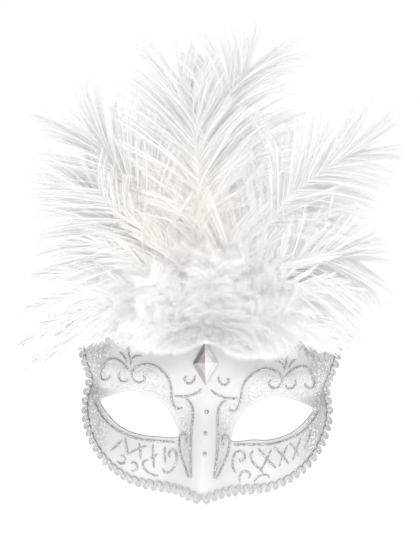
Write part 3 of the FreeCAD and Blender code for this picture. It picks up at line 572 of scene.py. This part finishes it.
class Barbs:
    """Collects the barbs and barbules of one feather and turns them into one mesh."""

    def __init__(self, seed):
        self.points = []
        self.triangles = []
        self.total = 0
        self.draw = np.random.default_rng(seed)

    def keep(self, points, faces):
        self.points.append(points)
        self.triangles.append(faces + self.total)
        self.total += len(points)

    def ribbons(self, centre, side, half_width):
        """Flat ribbons from centre lines (n, k, 3)."""
        count, stations = centre.shape[:2]
        edge = side * half_width[..., None]
        points = np.stack([centre - edge, centre + edge], axis=2).reshape(-1, 3)
        first = (np.arange(count)[:, None] * stations + np.arange(stations - 1)[None, :]) * 2
        first = first.reshape(-1)
        self.keep(points, np.concatenate([np.stack([first, first + 1, first + 3], axis=1),
                                          np.stack([first, first + 3, first + 2], axis=1)]))

    def hairs(self, root, run, tip, width):
        """Barbules: one slim triangle each."""
        points = np.stack([root - run * width / 2, root + run * width / 2, tip], axis=1).reshape(-1, 3)
        self.keep(points, np.arange(len(points)).reshape(-1, 3))

    def row(self, path, side, count, start, end, length, lean, curl=0.2, droop=0.2, scatter=0.3, clump=5,
            width=0.3, hairs=60, hair_length=3.4, hair_width=0.12, steps=8, taper=0.75):
        """One side's barbs along a shaft: curved ribbons with barbules.

        Lengths are in millimetres and lean, at both ends of the row, in degrees from the shaft.
        Barbs come in clumps. One that would hide the stone or the forehead is left out.
        """
        normal = self.draw.normal
        share = np.clip(np.linspace(start, end, count) + normal(0, 0.3 / count, count), 0.0, 1.0)
        run = unit(np.gradient(path, axis=0))
        across = unit(np.cross(run, FRONT))
        face = np.cross(across, run)
        base, ahead, out, front = (along(values, share) for values in (path, run, across, face))
        clumps = np.repeat(normal(0, 1, (count // clump + 1, 4)), clump, axis=0)[:count]
        lone = normal(0, 1, (count, 4))
        progress = (share - start) / (end - start)
        angle = lean[0] + (lean[1] - lean[0]) * progress + 4.0 * clumps[:, 0] + 2.0 * lone[:, 0]
        angle = np.radians(angle)[:, None]
        depth = scatter * (0.8 * clumps[:, 1] + 0.5 * lone[:, 1])[:, None]
        begin = unit(np.cos(angle) * ahead + np.sin(angle) * side * out + depth * front)
        size = (length(progress) * (1 + 0.07 * clumps[:, 2] + 0.06 * lone[:, 2]) * MM)[:, None, None]
        bend = (curl * (0.7 + 0.5 * clumps[:, 3] + 0.2 * lone[:, 3]))[:, None] * (side * out)
        bend = bend + droop * DOWN + 0.35 * scatter * lone[:, 1:2] * front
        u = np.linspace(0.0, 1.0, steps)[None, :, None]
        centre = base[:, None] + size * (u * begin[:, None] + u ** 2 * bend[:, None])
        clear = ~over_face(centre).any(axis=1)
        centre, base, begin, bend, size, front = (v[clear] for v in (centre, base, begin, bend, size, front))
        count = len(centre)
        heading = unit(begin[:, None] + 2.0 * u * bend[:, None])
        twist = unit(front[:, None] + 0.45 * normal(0, 1, (count, 1, 3)))
        half = width * MM / 2 * (1.0 - taper * u[..., 0] ** 2) * np.ones((count, 1))
        self.ribbons(centre, unit(np.cross(heading, twist)), half)
        if not hairs:
            return
        v = np.linspace(0.04, 1.0, hairs)[None, :, None] + normal(0, 0.4 / hairs, (count, hairs, 1))
        root = base[:, None] + size * (v * begin[:, None] + v ** 2 * bend[:, None])
        line = unit(begin[:, None] + 2.0 * v * bend[:, None])
        flat = unit(np.cross(line, np.broadcast_to(front[:, None], line.shape)))
        lift = np.cross(flat, line)
        for way in (-1.0, 1.0):
            turn = normal(0, 0.55, (count, hairs, 1))
            outward = way * np.cos(turn) * flat + np.sin(turn) * lift
            slant = np.radians(48.0 + 14.0 * normal(0, 1, (count, hairs, 1)))
            reach = hair_length * MM * (0.7 + 0.3 * (1 - v)) * (1 + 0.2 * normal(0, 1, v.shape))
            tip = root + reach * (np.cos(slant) * line + np.sin(slant) * outward + 0.12 * DOWN)
            wide = unit(np.cross(outward, lift) + line)
            self.hairs(root.reshape(-1, 3), wide.reshape(-1, 3), tip.reshape(-1, 3), hair_width * MM)

    def build(self, name, body, slot, replaced):
        points = keep_in_room(np.concatenate(self.points))
        make_object(name, points, np.concatenate(self.triangles), BARB, body, replaced)


def shaft(name, path, root_width, tip_width, body):
    """The shaft of a feather: a tapering rod."""
    points, faces = tube(path, np.linspace(root_width, tip_width, len(path)) * MM / 2)
    make_object(name, keep_in_room(points), faces, SHAFT, body)


def long_then_short(longest, tip):
    """Barb length along a shaft: grows quickly, stays long, and ends at a share of its greatest length."""
    return lambda progress: (longest * (0.5 + 0.5 * smooth(progress / 0.3))
                             * (1 - (1 - tip) * smooth(progress) ** 2))


PLUME_STEPS = 90
HACKLE_STEPS = 80
HACKLE_STEPS_RIGHT = 70         # the right hackles end sooner

# name, soft lower barbs, open upper barbs on the left and right (longest, share at the tip, lean at both
# ends), droop, end of the shaft as a share of its route, and the route from the pivot in millimetres
PLUMES = [
    ("plume_left_low", 40, (56, 0.95, 64, 12), (46, 0.8, 50, 4), 0.16, 0.86,
     [(-8, 14), (-30, 37), (-52, 62), (-66, 85), (-72, 102)]),
    ("plume_left_high", 50, (62, 1.0, 62, 6), (54, 1.0, 44, 2), 0.08, 0.86,
     [(-4, 18), (-20, 47), (-41, 80), (-62, 109), (-80, 134)]),
    ("plume_back", 54, (58, 0.95, 60, 8), (46, 0.8, 55, 8), 0.06, 0.88,
     [(-1, 24), (-5, 64), (-10, 112), (-17, 146), (-30, 170)]),
    ("plume_top", 54, (48, 0.95, 50, 26), (58, 0.95, 62, 8), 0.14, 0.84,
     [(0, 24), (-2, 64), (-1, 112), (6, 149), (22, 170), (44, 184)]),
    ("plume_right_high", 54, (56, 0.95, 50, 10), (50, 0.9, 60, 10), 0.16, 0.84,
     [(5, 20), (20, 52), (38, 82), (62, 104), (91, 120), (111, 126)]),
    ("plume_right_low", 42, (46, 0.8, 50, 14), (50, 0.8, 56, 14), 0.26, 0.86,
     [(7, 12), (26, 32), (50, 45), (74, 50), (94, 44)]),
]


def make_plume(index, name, soft, left, right, droop, end, route):
    body = name + "_body"
    pivot = JOINTS[body]
    flat = np.vstack([[0.0, 0.0], route]) * MM + pivot[[0, 2]]
    path = laid_back(spline(flat, PLUME_STEPS), pivot[1])
    path[:, 1] += pivot[1] - path[0, 1]
    path = path[:int(PLUME_STEPS * end)]
    slot = "feather_cream" if name in ("plume_back", "plume_left_high", "plume_top") else "feather_white"
    for label, side, (longest, tip, lean_low, lean_high) in (("left", -1.0, left), ("right", 1.0, right)):
        field = Barbs(100 + 2 * index + (side > 0))
        field.row(path, side, 210, 0.08, 0.6, long_then_short(soft, 1.0), (40.0, 32.0), 0.12, 0.04, 0.18, 10,
                  hairs=64, hair_length=3.0)
        field.row(path, side, 280, 0.42, 1.0, long_then_short(longest, tip), (lean_low, lean_high), 0.22,
                  droop, 0.26, 5, width=0.52, hairs=76, hair_length=3.6, hair_width=0.14, taper=0.5)
        field.build(name + "_barbs_" + label, body, slot, (name,))
    shaft(name + "_shaft", path, 1.5, 0.5, body)


for index, plume in enumerate(PLUMES):
    make_plume(index, *plume)


def fan_route(root_x, side, angle, length, droop):
    """Route of a feather that leaves the binding upwards, turns out and droops to its tip."""
    travelled = np.arange(0.0, length, 1.0)
    turn = smooth((travelled - 7.0) / 26.0)
    heading = np.radians(90.0 + (angle - 90.0) * turn - droop * (travelled / length) ** 2)
    x = root_x + side * np.cumsum(np.cos(heading))
    z = 49.0 + np.cumsum(np.sin(heading))
    return np.stack([x, z], axis=1) * MM


# side, angle above the level, length, droop at the tip in degrees
HACKLES = [(1, 62, 100, 40), (1, 44, 112, 48), (1, 28, 116, 50), (1, 14, 120, 48), (1, 2, 116, 44),
           (1, -8, 108, 36), (-1, 58, 98, 25), (-1, 40, 114, 35), (-1, 24, 126, 40), (-1, 12, 132, 42),
           (-1, 0, 132, 40), (-1, -10, 128, 36)]


def fluff_length(progress):
    """Barb length in the fluff at the foot of a hackle."""
    return 26.0 - 4.0 * progress


def blade_length(progress):
    """Barb length along the narrow blade of a hackle."""
    return 22.0 * (0.6 + 0.4 * smooth(progress / 0.3)) * (1.0 - 0.35 * smooth((progress - 0.5) / 0.5))


def make_hackle(index, side, angle, length, droop):
    rank = index % 6
    name = "hackle_%s_%d" % ("right" if side > 0 else "left", rank + 1)
    cloud = world_points(name)
    path = laid_back(fan_route(side * (2.2 + 1.8 * rank), side, angle, length, droop), 0.0)
    path[:, 1] += cloud[cloud[:, 2] < cloud[:, 2].min() + 0.5 * MM][:, 1].mean() - path[0, 1]
    path = spline(path[::6], HACKLE_STEPS)[:HACKLE_STEPS_RIGHT if side > 0 else HACKLE_STEPS]
    field = Barbs(200 + index)
    for way in (-1.0, 1.0):
        field.row(path, way, 90, 0.10, 0.5, fluff_length, (60.0, 40.0), 0.25, 0.2, 0.4, 3,
                  hairs=40, hair_length=3.6)
        field.row(path, way, 260, 0.28, 1.0, blade_length, (38.0, 9.0), -0.10, 0.06, 0.07, 14,
                  width=0.7, hairs=0, steps=7, taper=0.6)
    field.build(name + "_barbs", ROOT_BODY, "feather_white", (name,))
    shaft(name + "_shaft", path, 1.1, 0.3, ROOT_BODY)


for index, hackle in enumerate(HACKLES):
    make_hackle(index, *hackle)


TUFT_STEMS = 13
BROW_STEMS = 5
MIDDLE_TUFT = 2                 # the tuft over the stone has fewer strands in front
MIDDLE_BROW_STEMS = 3


def strand_length(progress):
    """Barb length along a stem of down."""
    return 20.0 + 7.0 * smooth(progress / 0.3) - 15.0 * progress


def brow_length(progress):
    """Barb length along the short stems over the forehead."""
    return 19.0 - 5.0 * progress


def make_down(index):
    """A tuft of down: soft strands that spread from one stem and droop over the forehead."""
    name = "marabou_%d" % (index + 1)
    cloud = world_points(name)
    root = cloud[cloud[:, 2] < cloud[:, 2].min() + 1.0 * MM].mean(axis=0)
    tip = cloud[np.argmax(np.linalg.norm(cloud - root, axis=1))]
    axis = unit(tip - root)
    middle = cloud.mean(axis=0)
    bow = (middle - root) - axis * np.dot(middle - root, axis)
    field = Barbs(300 + index)
    for _ in range(TUFT_STEMS):
        aim = unit(axis + field.draw.normal(0, 1, 3) * np.array([0.40, 0.10, 0.26]))
        size = np.linalg.norm(tip - root) * field.draw.uniform(0.55, 0.95)
        control = np.stack([root, root + aim * size * 0.45 + bow * 1.2 + FRONT * 2 * MM,
                            root + aim * size + bow * field.draw.uniform(0, 1)])
        path = spline(control, 40)
        for way in (-1.0, 1.0):
            field.row(path, way, 36, 0.1, 1.0, strand_length, (66.0, 40.0), 0.25, 0.10, 0.35, 2,
                      width=0.2, hairs=78, hair_length=5.0, hair_width=0.10)
    outward = np.array([0.55 * (index - MIDDLE_TUFT), 0.0, 0.0])
    for _ in range(MIDDLE_BROW_STEMS if index == MIDDLE_TUFT else BROW_STEMS):
        fall = -0.5 if index == MIDDLE_TUFT else field.draw.uniform(0.2, 0.6)
        aim = unit(0.4 * axis + FRONT * field.draw.uniform(0.5, 0.9) + DOWN * fall + outward
                   + field.draw.normal(0, 0.25, 3) * np.array([1.0, 0.2, 0.4]))
        size = field.draw.uniform(9.0, 16.0) * MM
        control = np.stack([root, root + aim * size * 0.6 + 2 * MM * FRONT,
                            root + aim * size + DOWN * 2 * MM])
        path = spline(control, 20)
        for way in (-1.0, 1.0):
            field.row(path, way, 34, 0.1, 1.0, brow_length, (70.0, 20.0), 0.2, 0.25, 0.35, 4,
                      width=0.2, hairs=60, hair_length=4.6, hair_width=0.10)
    field.build(name + "_down", ROOT_BODY, "feather_white", (name,))


for index in range(5):
    make_down(index)

# ---------------------------------------------------------------- camera, light, floor
AIM = Vector((-0.4, -45.0, 87.7)) * MM
SENSOR = 36.0
VIEW_HEIGHT = 0.3584            # what the picture's height spans at the aim, in metres
DISTANCE = 1.8
YAW = math.radians(1.1)
ELEVATION = math.radians(5.0)
ROLL = math.radians(2.15)


def make_camera():
    data = bpy.data.cameras.new("camera")
    data.sensor_width = SENSOR
    data.lens = SENSOR * DISTANCE / VIEW_HEIGHT
    camera = bpy.data.objects.new("camera", data)
    bpy.context.scene.collection.objects.link(camera)
    back = Vector((math.sin(YAW) * math.cos(ELEVATION), -math.cos(YAW) * math.cos(ELEVATION),
                   math.sin(ELEVATION)))
    camera.location = AIM + back * DISTANCE
    camera.rotation_mode = "QUATERNION"
    camera.rotation_quaternion = (-back).to_track_quat("-Z", "Y") @ Quaternion((0.0, 0.0, 1.0), ROLL)
    bpy.context.scene.camera = camera


def area_light(name, place, aim, size, power):
    data = bpy.data.lights.new(name, "AREA")
    data.shape = "RECTANGLE"
    data.size, data.size_y = size
    data.energy = power
    light = bpy.data.objects.new(name, data)
    bpy.context.scene.collection.objects.link(light)
    light.location = place
    light.rotation_euler = (Vector(aim) - Vector(place)).to_track_quat("-Z", "Y").to_euler()


FLOOR_REACH = 12.0


def make_floor():
    """A pale floor that glows a little, so that it is as white as the studio behind."""
    low = cad_low.z - MM
    reach = FLOOR_REACH
    corners = [(-reach, -reach, low), (reach, -reach, low), (reach, reach, low), (-reach, reach, low)]
    mesh = bpy.data.meshes.new("floor")
    mesh.from_pydata(corners, [], [(0, 1, 2, 3)])
    n = Nodes("floor_white").set(Roughness=0.9, Emission_Strength=0.64)
    n.set(Emission_Color=(1.0, 1.0, 1.0, 1.0))
    tone = n.ramp(n.noise(2.0, 2.0), "Fac", [(0.3, (0.95, 0.95, 0.95)), (0.7, (0.97, 0.97, 0.97))])
    n.link(tone, "Color", n.shader, "Base Color")
    mesh.materials.append(n.material)
    floor = bpy.data.objects.new("floor", mesh)
    bpy.context.scene.collection.objects.link(floor)


def make_world():
    """Studio room: bright in front and above, dim behind, and plain white where the camera looks."""
    world = bpy.data.worlds.new("studio")
    bpy.context.scene.world = world
    world.use_nodes = True
    tree = world.node_tree
    nodes = {key: tree.nodes.new("ShaderNode" + kind) for key, kind in
             (("place", "TexCoord"), ("lean", "VectorMath"), ("range", "MapRange"), ("path", "LightPath"),
              ("pick", "Mix"))}
    nodes["lean"].operation = "DOT_PRODUCT"
    nodes["lean"].inputs[1].default_value = (0.15, -0.75, 0.64)
    nodes["range"].inputs["From Min"].default_value = -0.6
    nodes["range"].inputs["From Max"].default_value = 0.9
    nodes["range"].inputs["To Min"].default_value = 0.07
    nodes["range"].inputs["To Max"].default_value = 0.62
    nodes["pick"].inputs["B"].default_value = 1.02
    tree.nodes["Background"].inputs["Color"].default_value = (1.0, 1.0, 1.0, 1.0)
    tree.links.new(nodes["place"].outputs["Generated"], nodes["lean"].inputs[0])
    tree.links.new(nodes["lean"].outputs["Value"], nodes["range"].inputs["Value"])
    tree.links.new(nodes["path"].outputs["Is Camera Ray"], nodes["pick"].inputs["Factor"])
    tree.links.new(nodes["range"].outputs["Result"], nodes["pick"].inputs["A"])
    tree.links.new(nodes["pick"].outputs["Result"], tree.nodes["Background"].inputs["Strength"])


make_camera()
make_floor()
make_world()
area_light("key", (0.0, -1.9, 0.45), (0.0, 0.0, 0.10), (1.5, 1.5), 15.0)
area_light("top", (0.1, -0.6, 1.6), (0.0, 0.0, 0.1), (1.2, 1.0), 9.0)
bpy.context.scene.view_settings.view_transform = "Standard"
